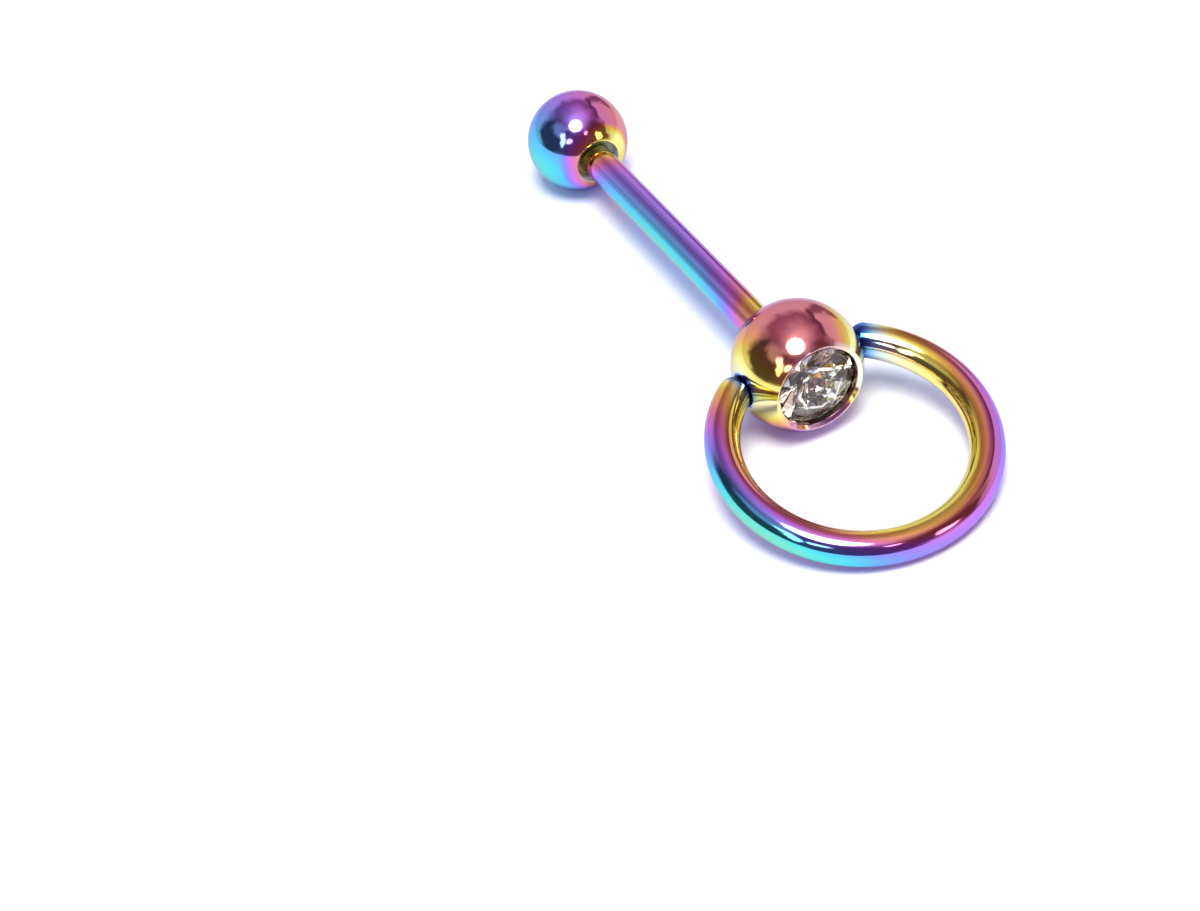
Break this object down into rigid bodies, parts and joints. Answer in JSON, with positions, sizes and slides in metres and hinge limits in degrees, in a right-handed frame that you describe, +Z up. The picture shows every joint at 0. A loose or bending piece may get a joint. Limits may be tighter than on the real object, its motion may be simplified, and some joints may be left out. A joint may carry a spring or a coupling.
{
  "type": "door knocker tongue ring",
  "caption": "Straight barbell for a tongue piercing with a small ball, and a larger stone-set ball whose captive ring swings like a door knocker.",
  "frame": {"origin": "on the surface that the jewel lies on, below the middle of its length and width", "axes": "+X along the bar from the small ball to the ring, +Y along the ring's pivot, +Z up"},
  "size_m": [0.0354, 0.0132, 0.006],
  "materials": {
    "end_ball_coat": "mirror-polished steel with a thin interference coat, violet to blue and gold",
    "bar_coat": "mirror-polished steel with a thin interference coat, violet on one side and blue to green on the other",
    "gem_ball_coat": "mirror-polished steel with a thin interference coat, rose and gold",
    "ring_coat": "mirror-polished steel with a thin interference coat, from steel blue and gold to purple and teal",
    "crystal": "clear cut crystal with a silvered back"
  },
  "bodies": {
    "barbell": {"end_ball": "end_ball_coat", "bar": "bar_coat", "gem_ball": "gem_ball_coat", "stone": "crystal"},
    "ring": {"knocker_ring": "ring_coat"}
  },
  "joints": [
    {"name": "ring_swing", "type": "hinge", "parent": "barbell", "child": "ring", "pos_m": [0.00659, 0, 0.00301], "axis": [0, -1, 0], "range_deg": [-157, 184]}
  ]
}
